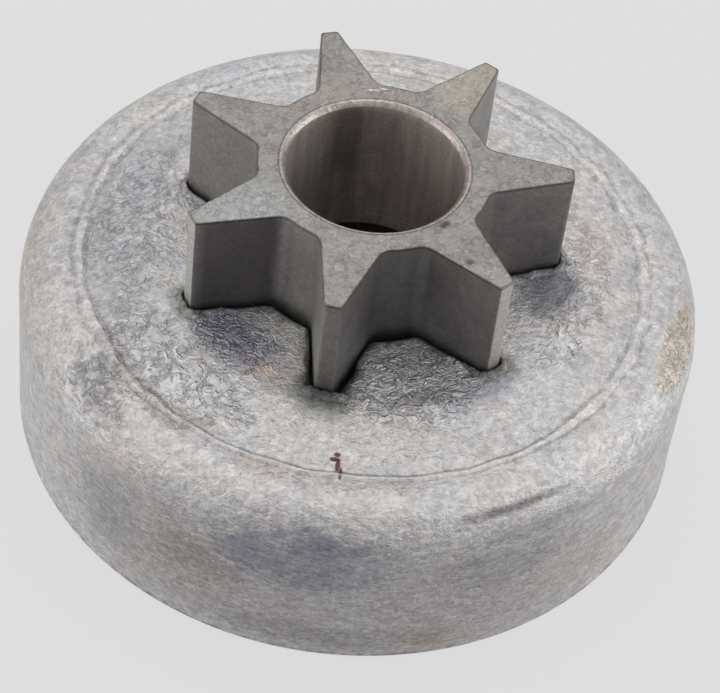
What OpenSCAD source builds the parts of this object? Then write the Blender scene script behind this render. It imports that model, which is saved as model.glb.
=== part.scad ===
// Clutch drum of a chainsaw with a seven-tooth spur sprocket set through its web.
// The drum is a drawn steel cup that stands on its open rim. The sprocket is a star of
// hardened steel. It passes up through a star-shaped hole in the web, and its round
// collar lies against the underside of the web, inside the cup.
// Z is the axis of the bore, z = 0 is the rim, and one tooth points along +X.

/* [Drum] */
// Outside diameter of the drum
drum_d = 67; // [58:0.5:81]
// Height from the rim to the outside of the web, beside the shoulder
drum_h = 19.9; // [16:0.1:26]
// Thickness of the skirt, which the clutch shoes press on
skirt_t = 2.5; // [1.8:0.1:3.2]
// Thickness of the web
web_t = 2.5; // [1.8:0.1:3.2]
// Outside radius of the shoulder between skirt and web
shoulder_r = 4.6; // [3.7:0.1:5.6]
// Size of the broken edges of the rim
rim_break = 0.4; // [0.1:0.1:0.8]

/* [Web] */
// Rise of the flat pad in the middle above the edge of the web
crown_h = 1.25; // [0.4:0.05:2.5]
// Width of the flat pad outside the tooth tips
pad_margin = 1.5; // [0.8:0.1:2.5]
// Distance of the drawn bead from the start of the shoulder
bead_inset = 1.15; // [0.6:0.05:1.8]
// Width of the drawn bead
bead_w = 0.9; // [0.5:0.1:1.1]
// Height of the drawn bead
bead_h = 0.25; // [0.1:0.05:0.4]

/* [Sprocket] */
// Number of teeth
teeth = 7; // [6:1:8]
// Diameter across the tooth tips
tip_d = 38; // [31:0.5:46]
// Diameter at the bottom of the gullets
root_d = 22.4; // [20.5:0.1:27]
// Width of a tooth at its tip
tip_w = 1.65; // [1:0.05:2.5]
// Width of a tooth at the bottom of the gullets
root_w = 5.7; // [4.5:0.1:6.5]
// Radius of the corners at the bottom of the gullets
gullet_r = 1.6; // [0.8:0.1:2]
// Size of the broken corners of a tooth tip
tip_break = 0.25; // [0.1:0.05:0.4]
// Height of the teeth above the pad
tooth_h = 11.55; // [8:0.05:16]

/* [Bore] */
// Diameter of the bore that the needle bearing runs in
bore_d = 17; // [13:0.1:18.5]
// Size of the broken edges of the bore
bore_break = 0.45; // [0.2:0.05:0.9]

/* [Collar] */
// Thickness of the collar under the web
collar_t = 2.75; // [1.5:0.05:4]
// Distance that the collar laps the web past the tooth tips
collar_lap = 1.2; // [0.5:0.1:2]

/* [Seat] */
// Gap between the tooth flanks and the hole in the web
seat_clear = 0.15; // [0.05:0.05:0.3]
// Gap between the bottom of the gullets and the hole in the web
gullet_clear = 0.6; // [0.3:0.05:1]
// Radius of the rolled edge of the web in each gullet
roll_r = 0.5; // [0.2:0.05:0.9]
// Height of the lip that is upset round each tooth tip
lip_h = 0.5; // [0.1:0.05:0.6]
// Width of the lip that is upset round each tooth tip
lip_w = 0.6; // [0.3:0.05:0.6]
// Length of the lip, from the tooth tip towards the axis
lip_l = 4; // [2:0.5:5]

/* [Hidden] */
$fn = 180;

pitch_a = 360 / teeth;
tip_r = tip_d / 2;
root_r = root_d / 2;
flank_a = atan((root_w - tip_w) / (tip_d - root_d));

pad_z = drum_h + crown_h;
pad_r = tip_r + pad_margin;
bead_r = drum_d / 2 - shoulder_r - bead_inset;
bead_round = (bead_w * bead_w / 4 + bead_h * bead_h) / (2 * bead_h);

collar_r = tip_r + min(collar_lap, pad_margin);
collar_top = pad_z - web_t;
collar_z = collar_top - collar_t;
sprocket_h = pad_z + tooth_h - collar_z;

// Overlap that makes a cut run clean through a face
cut = 1;
// How far a fill reaches into the solid that it joins
tuck = 0.6;
// Size of a circle that rounds an outer edge or an inner corner, against the true radius
roll_ease = 1.1;
round_ease = 1.02;

function dot(a, b) = a[0] * b[0] + a[1] * b[1];

// Half the width of a tooth at the distance x from the axis, with its flanks moved
// outwards by grow
function half_width(x, grow) = tip_w / 2 + (tip_r - x) * tan(flank_a) + grow / cos(flank_a);

flank_dir = [cos(flank_a), -sin(flank_a)];
flank_normal = [sin(flank_a), cos(flank_a)];

// Centre of the corner circle of radius r that touches a flank and the gullet bottom
function corner_centre(r, root, grow) =
    let(
        start = [root, half_width(root, grow)] + r * flank_normal,
        along = dot(start, flank_dir),
        travel = -along + sqrt(along * along - dot(start, start) + (root + r) * (root + r))
    )
    start + travel * flank_dir;

// Largest corner radius, up to the wish, whose circle stays in its own half of the gullet
function corner_limit(wish, root, grow) =
    let(centre = corner_centre(wish, root, grow))
    wish <= 0.2 || atan2(centre[1], centre[0]) < pitch_a / 2 - 0.5
        ? wish
        : corner_limit(wish - 0.1, root, grow);

// One tooth, lying along +X, with broken corners at its tip
module tooth(grow) {
    reach = tip_r + grow;
    shoulder_x = reach - tip_break;
    heel_x = root_r / 2;
    polygon([
        [heel_x, -half_width(heel_x, grow)],
        [shoulder_x, -half_width(shoulder_x, grow)],
        [reach, tip_break - half_width(reach, grow)],
        [reach, half_width(reach, grow) - tip_break],
        [shoulder_x, half_width(shoulder_x, grow)],
        [heel_x, half_width(heel_x, grow)]
    ]);
}

// Fills the corner between a flank and the bottom of a gullet, on one side of a tooth,
// out to the centre of the corner circle
module corner_fill(r, root, grow, side) {
    centre = corner_centre(r, root, grow);
    points = [
        centre,
        centre - (r + tuck) * flank_normal,
        [root - 2 * tuck, 0],
        centre * (root - tuck) / norm(centre)
    ];
    polygon([for (p = points) [p[0], side * p[1]]]);
}

// Outline of the star, with its flanks and tips moved outwards by grow and the bottoms
// of its gullets by grow_root. The corner circles are a little larger than the corners,
// so that they cross the flanks and the root circle instead of touching them.
module star(grow = 0, grow_root = 0) {
    root = root_r + grow_root;
    r = corner_limit(max(gullet_r - grow_root, 0.4), root, grow);
    centre = corner_centre(r, root, grow);
    difference() {
        union() {
            circle(r = root);
            for (i = [0 : teeth - 1]) {
                rotate(i * pitch_a) {
                    tooth(grow);
                    corner_fill(r, root, grow, 1);
                    corner_fill(r, root, grow, -1);
                }
            }
        }
        for (i = [0 : teeth - 1], side = [-1, 1]) {
            rotate(i * pitch_a)
                translate([centre[0], side * centre[1]])
                    circle(r = round_ease * r);
        }
    }
}

// Half section of the solid inside a cup: a block with one round corner and a crown
module cup_half(radius, height, corner) {
    square([radius, height - corner]);
    square([radius - corner, height]);
    translate([radius - corner, height - corner])
        circle(r = corner);
    polygon([
        [0, height - cut],
        [bead_r, height - cut],
        [bead_r, height],
        [pad_r, height + crown_h],
        [0, height + crown_h]
    ]);
}

// Half section of the drawn cup
module cup_section() {
    outer_r = drum_d / 2;
    inner_r = outer_r - skirt_t;
    difference() {
        union() {
            cup_half(outer_r, drum_h, shoulder_r);
            translate([bead_r, drum_h + bead_h - bead_round])
                circle(r = bead_round);
        }
        cup_half(inner_r, drum_h - web_t, max(shoulder_r - skirt_t, 0.4));
        translate([0, -cut])
            square([inner_r, 2 * cut]);
        polygon([[outer_r - rim_break, 0], [outer_r, rim_break], [outer_r + cut, 0], [outer_r, -cut]]);
        polygon([[inner_r + rim_break, 0], [inner_r, rim_break], [inner_r - cut, 0], [inner_r, -cut]]);
    }
}

// Lips of metal that are pushed up round the tooth tips to lock the sprocket
module tip_lips() {
    translate([0, 0, pad_z - cut])
        linear_extrude(cut + lip_h)
            difference() {
                star(seat_clear + lip_w, gullet_clear);
                circle(r = tip_r - lip_l);
            }
}

// Rounds the edge of the web where it faces the bottoms of the gullets. The circle is a
// little larger than the corner, so that it crosses both faces instead of touching them.
module roll_cut() {
    edge_r = root_r + gullet_clear;
    translate([0, 0, pad_z])
        rotate_extrude()
            difference() {
                translate([edge_r - cut, -roll_r])
                    square([cut + roll_r, roll_r + lip_h + cut]);
                translate([edge_r + roll_r, -roll_r])
                    circle(r = roll_ease * roll_r);
            }
}

module clutch_drum() {
    color([0.68, 0.66, 0.67])
        difference() {
            union() {
                rotate_extrude()
                    cup_section();
                tip_lips();
            }
            translate([0, 0, collar_top - cut])
                linear_extrude(web_t + lip_h + 2 * cut)
                    star(seat_clear, gullet_clear);
            roll_cut();
        }
}

module spur_sprocket() {
    color([0.5, 0.49, 0.47])
        translate([0, 0, collar_z])
            difference() {
                union() {
                    linear_extrude(sprocket_h)
                        star();
                    cylinder(r = collar_r, h = collar_t);
                }
                translate([0, 0, -cut])
                    cylinder(d = bore_d, h = sprocket_h + 2 * cut);
                translate([0, 0, -bore_break])
                    bore_cone();
                translate([0, 0, sprocket_h + bore_break])
                    mirror([0, 0, 1])
                        bore_cone();
            }
}

// Cone that breaks an end of the bore, with its widest end down
module bore_cone() {
    reach = 2 * bore_break;
    cylinder(r1 = bore_d / 2 + reach, r2 = bore_d / 2, h = reach);
}

clutch_drum();
spur_sprocket();
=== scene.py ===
"""Surfaces, finishes and studio of a chainsaw clutch drum with a seven-tooth spur sprocket.

All shapes are worked out in millimetres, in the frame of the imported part: the origin is the
middle of the drum's rim, +Z is the axis of the bore and one tooth points along +X.
"""

import logging
import math
from dataclasses import dataclass, field
from enum import Enum

import bpy
import numpy as np
from mathutils import Matrix


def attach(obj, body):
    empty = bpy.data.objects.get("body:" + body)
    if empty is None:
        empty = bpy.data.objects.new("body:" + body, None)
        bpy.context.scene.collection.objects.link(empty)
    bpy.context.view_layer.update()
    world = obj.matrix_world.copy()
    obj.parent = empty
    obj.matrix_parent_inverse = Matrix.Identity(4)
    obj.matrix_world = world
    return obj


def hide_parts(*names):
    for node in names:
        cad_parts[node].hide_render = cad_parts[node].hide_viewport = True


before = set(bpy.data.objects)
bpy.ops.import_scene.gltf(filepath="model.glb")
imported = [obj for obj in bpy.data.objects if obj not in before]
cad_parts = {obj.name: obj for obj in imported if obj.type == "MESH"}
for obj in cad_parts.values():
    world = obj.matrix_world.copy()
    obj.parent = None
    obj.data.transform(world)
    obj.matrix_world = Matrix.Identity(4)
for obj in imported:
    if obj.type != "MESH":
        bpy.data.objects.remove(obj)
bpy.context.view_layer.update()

LOG = logging.getLogger("clutch_drum")
BODY = "root"
MM = 0.001

Colour = tuple[float, float, float]
Socket = bpy.types.NodeSocket
Value = float | Socket


def tone(red: float, green: float, blue: float) -> Colour:
    """Turns a colour as a picture shows it into the linear colour that a shader takes.

    Args:
        red: Red from 0 to 255.
        green: Green from 0 to 255.
        blue: Blue from 0 to 255.

    Returns:
        The linear red, green and blue, from 0 to 1.
    """
    parts = []
    for part in (red, green, blue):
        share = part / 255
        parts.append(share / 12.92 if share <= 0.04045 else ((share + 0.055) / 1.055) ** 2.4)
    return (parts[0], parts[1], parts[2])


def smooth_step(low: float, high: float, values: np.ndarray) -> np.ndarray:
    """Rises softly from 0 at low to 1 at high.

    Args:
        low: Where the rise starts.
        high: Where the rise ends.
        values: The places to work out.

    Returns:
        A share from 0 to 1 for each place.
    """
    share = np.clip((values - low) / (high - low), 0, 1)
    return share * share * (3 - 2 * share)


def angle_gap(angles: np.ndarray, centre: float) -> np.ndarray:
    """Gives how far each angle lies from a centre, in degrees from 0 to 180."""
    return np.abs((np.degrees(angles) - centre + 180) % 360 - 180)


# ---- Outline of the star ----


@dataclass(frozen=True)
class Outline:
    """Closed outline in the plane of the web, counterclockwise.

    Attributes:
        points: Its places, one row each.
        normals: The directions away from the star's metal at those places.
    """

    points: np.ndarray
    normals: np.ndarray

    def moved(self, distance: float | np.ndarray) -> np.ndarray:
        """Gives the places moved along their normals by a distance."""
        return self.points + self.normals * np.reshape(distance, (-1, 1))

    @property
    def radii(self) -> np.ndarray:
        """Distances of the places from the axis."""
        return np.hypot(self.points[:, 0], self.points[:, 1])

    @property
    def angles(self) -> np.ndarray:
        """Angles of the places round the axis, in radians."""
        return np.arctan2(self.points[:, 1], self.points[:, 0])


@dataclass(frozen=True)
class ToothForm:
    """Form of the teeth: straight flanks, rounded tips and round corners in the gullets."""

    teeth: int = 7
    tip_r: float = 19.0
    root_r: float = 11.2
    tip_w: float = 1.65
    root_w: float = 5.7
    gullet_r: float = 1.6
    tip_round: float = 0.3
    columns: int = 120
    spread: float = 30.0

    @property
    def flank_angle(self) -> float:
        """Slope of a flank against the middle line of its tooth."""
        return math.atan((self.root_w - self.tip_w) / (2 * (self.tip_r - self.root_r)))

    def half_width(self, x: float, grow: float) -> float:
        """Gives half the width of a tooth at the distance x from the axis."""
        slope = self.flank_angle
        return self.tip_w / 2 + (self.tip_r - x) * math.tan(slope) + grow / math.cos(slope)

    def half_tooth(self, grow: float, grow_root: float) -> tuple[np.ndarray, np.ndarray]:
        """Draws the outline from the middle of a tip to the middle of the next gullet.

        Args:
            grow: Distance that flanks and tips are moved outwards.
            grow_root: Distance that the bottoms of the gullets are moved outwards.

        Returns:
            Closely spaced places and their normals.
        """
        slope = self.flank_angle
        reach = self.tip_r + grow
        root = self.root_r + grow_root
        fillet = max(self.gullet_r - grow_root, 0.4)
        along = np.array([math.cos(slope), -math.sin(slope)])
        across = np.array([math.sin(slope), math.cos(slope)])

        corner_y = self.half_width(reach, grow)
        tip_y = corner_y - self.tip_round * (1 - math.sin(slope)) / math.cos(slope)
        tip_centre = np.array([reach - self.tip_round, tip_y])

        start = np.array([root, self.half_width(root, grow)]) + fillet * across
        offset = float(start @ along)
        travel = -offset + math.sqrt(offset**2 - float(start @ start) + (root + fillet) ** 2)
        fillet_centre = start + travel * along

        places: list[np.ndarray] = []
        normals: list[np.ndarray] = []

        def line(first: np.ndarray, last: np.ndarray, normal: np.ndarray, count: int) -> None:
            """Adds a straight stretch of count places."""
            for share in np.linspace(0, 1, count, endpoint=False):
                places.append(first + share * (last - first))
                normals.append(normal)

        def arc(centre: np.ndarray, radius: float, first: float, last: float, side: int) -> None:
            """Adds an arc whose normals point away from its centre (1) or to it (-1)."""
            for angle in np.linspace(first, last, 60, endpoint=False):
                ray = np.array([math.cos(angle), math.sin(angle)])
                places.append(centre + radius * ray)
                normals.append(side * ray)

        line(np.array([reach, 0.0]), np.array([reach, tip_y]), np.array([1.0, 0.0]), 30)
        arc(tip_centre, self.tip_round, 0.0, math.pi / 2 - slope, 1)
        flank_start = tip_centre + self.tip_round * across
        line(flank_start, fillet_centre - fillet * across, across, 200)
        to_axis = math.atan2(-fillet_centre[1], -fillet_centre[0])
        arc(fillet_centre, fillet, -math.pi / 2 - slope, to_axis, -1)
        root_start = math.atan2(fillet_centre[1], fillet_centre[0])
        arc(np.zeros(2), root, root_start, math.pi / self.teeth, 1)
        return np.array(places), np.array(normals)

    def outline(self, grow: float = 0.0, grow_root: float = 0.0) -> Outline:
        """Draws the whole star, with its columns spread over flanks and gullets alike.

        Args:
            grow: Distance that flanks and tips are moved outwards.
            grow_root: Distance that the bottoms of the gullets are moved outwards.

        Returns:
            The outline, starting near the middle of the tip on +X.
        """
        places, normals = self.half_tooth(grow, grow_root)
        steps = np.hypot(*np.diff(places, axis=0).T)
        turns = np.diff(np.arctan2(places[:, 1], places[:, 0]))
        run = np.concatenate([[0], np.cumsum(steps + self.spread * turns)])
        half = self.columns // 2
        wanted = (np.arange(half) + 0.5) / half * run[-1]
        sampled = [np.interp(wanted, run, part) for part in (*places.T, *normals.T)]
        upper = np.array(sampled).T
        lower = upper[::-1] * np.array([1, -1, 1, -1])
        pitch = 2 * math.pi / self.teeth
        rows = []
        for tooth in range(self.teeth):
            for part, turn in ((upper, tooth * pitch), (lower, (tooth + 1) * pitch)):
                spin = np.array([[math.cos(turn), math.sin(turn)], [-math.sin(turn), math.cos(turn)]])
                rows.append(np.hstack([part[:, :2] @ spin, part[:, 2:] @ spin]))
        table = np.vstack(rows)
        lengths = np.hypot(table[:, 2], table[:, 3])[:, None]
        return Outline(table[:, :2], table[:, 2:] / lengths)


# ---- Meshes ----


class Unevenness:
    """Soft bumps and hollows along a ring, the same in each run."""

    def __init__(self, seed: int, lowest: int, highest: int) -> None:
        """Chooses the waves.

        Args:
            seed: Start of the random draws.
            lowest: Fewest waves round the ring.
            highest: Most waves round the ring.
        """
        draws = np.random.RandomState(seed)
        self.counts = np.arange(lowest, highest + 1)
        self.phases = draws.uniform(0, 2 * math.pi, self.counts.size)
        self.twists = draws.uniform(-0.6, 0.6, self.counts.size)
        self.sizes = draws.uniform(0.4, 1.0, self.counts.size) / self.counts**0.35
        self.sizes /= np.sqrt((self.sizes**2).sum() / 2) * 2

    def at(self, angles: np.ndarray, along: float | np.ndarray = 0.0) -> np.ndarray:
        """Gives the unevenness, mostly within -1 to 1.

        Args:
            angles: Angles round the axis, in radians.
            along: Place across the ring, in millimetres.

        Returns:
            One value for each angle.
        """
        twist = np.outer(np.broadcast_to(along, angles.shape), self.twists)
        return np.sin(np.outer(angles, self.counts) + self.phases + twist) @ self.sizes


class Loft:
    """Closed surface through rings of points, the last ring joined to the first."""

    def __init__(self) -> None:
        """Starts without rings."""
        self.rings: list[np.ndarray] = []
        self.faces: list[int] = []
        self.feet: list[np.ndarray] = []
        self.crests: list[np.ndarray] = []

    def ring(
        self, plane: np.ndarray, height: float | np.ndarray, face: Enum,
        foot: float | np.ndarray = 9.0, crest: float | np.ndarray = 0.0,
    ) -> None:
        """Adds a ring.

        Args:
            plane: Places in the plane of the web, in millimetres.
            height: Their heights.
            face: The finish of the strip from this ring to the next.
            foot: Distance of the places from the star's edge, or their depth below it.
            crest: How far the places are on a bead (up to 1) or in the groove beside it (down to -1).
        """
        heights = np.broadcast_to(height, (len(plane),))
        self.rings.append(np.column_stack([plane, heights]))
        self.faces.append(face.value)
        self.feet.append(np.broadcast_to(foot, (len(plane),)))
        self.crests.append(np.broadcast_to(crest, (len(plane),)))

    def piece(self, name: str, materials: list[bpy.types.Material]) -> bpy.types.Object:
        """Builds the mesh and puts it in the scene.

        Args:
            name: Name of the piece.
            materials: Its finishes, in the order of the faces' numbers.

        Returns:
            The new piece.
        """
        rings, columns = len(self.rings), len(self.rings[0])
        places = np.vstack(self.rings) * MM
        index = np.arange(rings * columns).reshape(rings, columns)
        right = np.roll(index, -1, axis=1)
        quads = np.stack(
            [index, right, np.roll(right, -1, axis=0), np.roll(index, -1, axis=0)], axis=-1
        ).reshape(-1, 4)
        mesh = bpy.data.meshes.new(name)
        mesh.vertices.add(len(places))
        mesh.vertices.foreach_set("co", places.ravel())
        mesh.loops.add(quads.size)
        mesh.loops.foreach_set("vertex_index", quads.ravel())
        mesh.polygons.add(len(quads))
        mesh.polygons.foreach_set("loop_start", np.arange(len(quads)) * 4)
        mesh.polygons.foreach_set("material_index", np.repeat(self.faces, columns))
        mesh.polygons.foreach_set("use_smooth", np.ones(len(quads), bool))
        for label, values in (("foot", self.feet), ("crest", self.crests)):
            attribute = mesh.attributes.new(label, "FLOAT", "POINT")
            attribute.data.foreach_set("value", np.concatenate(values).astype(np.float32))
        mesh.update(calc_edges=True)
        mesh.validate()
        for material in materials:
            mesh.materials.append(material)
        piece = bpy.data.objects.new(name, mesh)
        bpy.context.scene.collection.objects.link(piece)
        return piece


# ---- Node sketches and shared effects ----


class Sketch:
    """Adds nodes to one node tree and joins them."""

    def __init__(self, tree: bpy.types.NodeTree) -> None:
        """Takes the tree that the nodes go in."""
        self.tree = tree

    def add(self, kind: str, **settings: object) -> bpy.types.Node:
        """Adds a node and sets its options."""
        node = self.tree.nodes.new(kind)
        for name, setting in settings.items():
            setattr(node, name, setting)
        return node

    def feed(self, socket: Socket, value: object) -> None:
        """Joins a socket to another, or sets its own value."""
        if isinstance(value, bpy.types.NodeSocket):
            self.tree.links.new(value, socket)
        elif isinstance(value, tuple) and len(value) == 3 and len(getattr(socket, "default_value", ())) == 4:
            socket.default_value = (*value, 1.0)
        else:
            socket.default_value = value

    def math(self, operation: str, first: Value, second: Value = 0.0, third: Value = 0.0) -> Socket:
        """Adds a Math node and gives its result."""
        node = self.add("ShaderNodeMath", operation=operation)
        for socket, value in zip(node.inputs, (first, second, third)):
            self.feed(socket, value)
        return node.outputs[0]

    def vector(self, operation: str, first: object, second: object = (0.0, 0.0, 0.0)) -> Socket:
        """Adds a Vector Math node and gives its vector."""
        node = self.add("ShaderNodeVectorMath", operation=operation)
        self.feed(node.inputs[0], first)
        if operation == "SCALE":
            self.feed(node.inputs["Scale"], second)
        else:
            self.feed(node.inputs[1], second)
        return node.outputs["Vector"]

    def span(self, value: Value, low: Value, high: Value, start: Value = 0.0, end: Value = 1.0) -> Socket:
        """Maps a value softly from low and high to start and end, and no further."""
        node = self.add("ShaderNodeMapRange", interpolation_type="SMOOTHSTEP")
        for socket, part in zip(node.inputs, (value, low, high, start, end)):
            self.feed(socket, part)
        return node.outputs[0]

    def mix(self, share: Value, first: object, second: object, blend: str = "MIX") -> Socket:
        """Mixes two colours and gives the result."""
        node = self.add("ShaderNodeMix", data_type="RGBA", blend_type=blend)
        self.feed(node.inputs[0], share)
        self.feed(node.inputs[6], first)
        self.feed(node.inputs[7], second)
        return node.outputs[2]

    def times(self, *values: Value) -> Socket:
        """Multiplies two or more values."""
        product = values[0]
        for value in values[1:]:
            product = self.math("MULTIPLY", product, value)
        return product

    def sway(self, tone_socket: Socket, reach: float) -> Socket:
        """Turns a tone from 0 to 1 into a shift of half the reach to either side."""
        return self.times(self.math("SUBTRACT", tone_socket, 0.5), reach)

    def noise(
        self, place: Socket, size: Value, detail: float = 2.0, warp: float = 0.0, rough: float = 0.5
    ) -> Socket:
        """Adds noise whose features are about size millimetres across."""
        node = self.add("ShaderNodeTexNoise", noise_dimensions="3D")
        scale = self.math("DIVIDE", 1.0, size) if isinstance(size, bpy.types.NodeSocket) else 1 / size
        self.feed(node.inputs["Vector"], place)
        self.feed(node.inputs["Scale"], scale)
        node.inputs["Detail"].default_value = detail
        node.inputs["Roughness"].default_value = rough
        node.inputs["Distortion"].default_value = warp
        return node.outputs[0]

    def place(self, x: Value, y: Value, z: Value) -> Socket:
        """Joins three values to a vector."""
        node = self.add("ShaderNodeCombineXYZ")
        for socket, value in zip(node.inputs, (x, y, z)):
            self.feed(socket, value)
        return node.outputs[0]

    def effect(self, group: bpy.types.NodeTree, **values: object) -> dict[str, Socket]:
        """Places a shared effect, with its inputs named in lower case with underscores.

        Args:
            group: The effect's node group.
            values: What its inputs get.

        Returns:
            Its outputs by name.
        """
        node = self.add("ShaderNodeGroup", node_tree=group)
        for socket in node.inputs:
            key = socket.name.lower().replace(" ", "_")
            if key in values:
                self.feed(socket, values[key])
        return {socket.name: socket for socket in node.outputs}


class Effects:
    """Shared effects, each a node group that is built once."""

    def __init__(self) -> None:
        """Builds all groups."""
        self.station = self._station()
        self.stain = self._stain()
        self.relief = self._relief()
        self.specks = self._specks()
        self.mottle = self._mottle()
        self.scratches = self._scratches()
        self.turning = self._turning()

    @staticmethod
    def _group(name: str, inputs: dict[str, object], outputs: tuple[str, ...]) -> tuple:
        """Starts a group.

        Args:
            name: Name of the group.
            inputs: Its inputs with their first values; three numbers make a vector.
            outputs: Its outputs, all single values.

        Returns:
            The group, a sketch in it, its inputs by name and its output node.
        """
        group = bpy.data.node_groups.new(name, "ShaderNodeTree")
        for label, value in inputs.items():
            kind = "NodeSocketVector" if isinstance(value, tuple) else "NodeSocketFloat"
            socket = group.interface.new_socket(label, in_out="INPUT", socket_type=kind)
            socket.default_value = value
        for label in outputs:
            group.interface.new_socket(label, in_out="OUTPUT", socket_type="NodeSocketFloat")
        sketch = Sketch(group)
        start = sketch.add("NodeGroupInput")
        end = sketch.add("NodeGroupOutput")
        return group, sketch, {s.name: s for s in start.outputs if s.name}, end

    def _station(self) -> bpy.types.NodeTree:
        """Builds the place on the turned form: angle, radius and distance over the drum."""
        group, sketch, _, end = self._group("turned_station", {}, ("Azimuth", "Radius", "Station", "Height"))
        group.interface.new_socket("Millimetres", in_out="OUTPUT", socket_type="NodeSocketVector")
        coordinates = sketch.add("ShaderNodeTexCoord")
        place = sketch.vector("SCALE", coordinates.outputs["Object"], 1 / MM)
        split = sketch.add("ShaderNodeSeparateXYZ")
        sketch.feed(split.inputs[0], place)
        x, y, z = split.outputs
        radius = sketch.math("SQRT", sketch.math("ADD", sketch.times(x, x), sketch.times(y, y)))
        azimuth = sketch.math("DEGREES", sketch.math("ARCTAN2", y, x))
        for socket, value in zip(end.inputs, (azimuth, radius, sketch.math("SUBTRACT", radius, z), z, place)):
            sketch.feed(socket, value)
        return group

    def _stain(self) -> bpy.types.NodeTree:
        """Builds a ragged patch at a place on the turned form."""
        group, sketch, given, end = self._group(
            "stain_patch",
            {
                "Azimuth": 0.0, "Radius": 1.0, "Station": 0.0, "Ragged": 0.5,
                "Middle Azimuth": 0.0, "Middle Station": 0.0, "Half Width": 1.0,
                "Half Length": 1.0, "Softness": 0.2, "Raggedness": 0.5,
            },
            ("Mask",),
        )
        turn = sketch.math("SUBTRACT", given["Azimuth"], given["Middle Azimuth"])
        turn = sketch.math("WRAP", turn, 180.0, -180.0)
        arc = sketch.times(sketch.math("RADIANS", turn), given["Radius"])
        across = sketch.math("DIVIDE", arc, given["Half Width"])
        run = sketch.math("SUBTRACT", given["Station"], given["Middle Station"])
        along = sketch.math("DIVIDE", run, given["Half Length"])
        squares = sketch.math("ADD", sketch.times(across, across), sketch.times(along, along))
        wobble = sketch.times(sketch.math("SUBTRACT", given["Ragged"], 0.5), given["Raggedness"])
        reach = sketch.math("ADD", sketch.math("SQRT", squares), wobble)
        inner = sketch.math("SUBTRACT", 1.0, given["Softness"])
        outer = sketch.math("ADD", 1.0, given["Softness"])
        sketch.feed(end.inputs["Mask"], sketch.span(reach, inner, outer, 1.0, 0.0))
        return group

    def _relief(self) -> bpy.types.NodeTree:
        """Builds curling wrinkles: furrows, each with a ridge beside it, as masks for bumps and for painted
        shade in the furrows and a painted highlight on the ridges.
        """
        group, sketch, given, end = self._group(
            "relief",
            {"Place": (0.0, 0.0, 0.0), "Size": 1.0, "Width": 0.08, "Cover": 0.5},
            ("Furrow", "Ridge", "Height"),
        )
        folds = sketch.noise(given["Place"], given["Size"], 1.5, 0.9, 0.55)
        level = sketch.math("SUBTRACT", folds, 0.5)
        furrow = sketch.span(sketch.math("ABSOLUTE", level), 0.0, given["Width"], 1.0, 0.0)
        beside = sketch.math("SUBTRACT", level, sketch.times(given["Width"], 1.6))
        beside = sketch.math("ABSOLUTE", beside)
        ridge = sketch.span(beside, 0.0, given["Width"], 1.0, 0.0)
        shifted = sketch.vector("ADD", given["Place"], (31.0, 7.0, 13.0))
        gaps = sketch.noise(shifted, sketch.times(given["Size"], 1.5), 1.0)
        limit = sketch.math("SUBTRACT", 1.0, given["Cover"])
        shown = sketch.span(gaps, sketch.math("SUBTRACT", limit, 0.08), sketch.math("ADD", limit, 0.08))
        furrow = sketch.times(furrow, shown)
        ridge = sketch.times(ridge, shown)
        sketch.feed(end.inputs["Furrow"], furrow)
        sketch.feed(end.inputs["Ridge"], ridge)
        sketch.feed(end.inputs["Height"], sketch.math("SUBTRACT", ridge, furrow))
        return group

    def _specks(self) -> bpy.types.NodeTree:
        """Builds small scattered dots."""
        group, sketch, given, end = self._group(
            "specks", {"Place": (0.0, 0.0, 0.0), "Spacing": 2.0, "Size": 0.1, "Share": 0.4}, ("Mask",)
        )
        cells = sketch.add("ShaderNodeTexVoronoi", voronoi_dimensions="3D", feature="F1")
        sketch.feed(cells.inputs["Vector"], given["Place"])
        sketch.feed(cells.inputs["Scale"], sketch.math("DIVIDE", 1.0, given["Spacing"]))
        draws = sketch.add("ShaderNodeSeparateColor")
        sketch.feed(draws.inputs[0], cells.outputs["Color"])
        chosen = sketch.math("LESS_THAN", draws.outputs[0], given["Share"])
        width = sketch.times(given["Size"], sketch.math("MULTIPLY_ADD", draws.outputs[1], 1.2, 0.4))
        dot = sketch.span(cells.outputs["Distance"], sketch.times(width, 0.5), width, 1.0, 0.0)
        sketch.feed(end.inputs["Mask"], sketch.times(dot, chosen))
        return group

    def _mottle(self) -> bpy.types.NodeTree:
        """Builds cloudy changes of tone at three sizes, about 0.5 in the middle."""
        group, sketch, given, end = self._group(
            "mottling", {"Place": (0.0, 0.0, 0.0), "Size": 6.0, "Contrast": 1.0}, ("Tone",)
        )
        broad = sketch.noise(given["Place"], given["Size"], 5.0, 0.3, 0.62)
        centred = sketch.times(sketch.math("SUBTRACT", broad, 0.5), given["Contrast"])
        result = sketch.math("ADD", centred, 0.5)
        result.node.use_clamp = True
        sketch.feed(end.inputs["Tone"], result)
        return group

    def _scratches(self) -> bpy.types.NodeTree:
        """Builds short fine scratches along one direction of the given place."""
        group, sketch, given, end = self._group(
            "scratches", {"Place": (0.0, 0.0, 0.0), "Length": 4.0, "Width": 0.2, "Cover": 0.3}, ("Mask",)
        )
        split = sketch.add("ShaderNodeSeparateXYZ")
        sketch.feed(split.inputs[0], given["Place"])
        x, y, z = split.outputs
        along = sketch.math("DIVIDE", x, given["Length"])
        across = sketch.math("DIVIDE", y, given["Width"])
        deep = sketch.math("DIVIDE", z, given["Width"])
        lines = sketch.noise(sketch.place(along, across, deep), 1.0, 1.0, 0.2)
        limit = sketch.math("SUBTRACT", 1.0, given["Cover"])
        sketch.feed(end.inputs["Mask"], sketch.span(lines, limit, sketch.math("ADD", limit, 0.08)))
        return group

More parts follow.
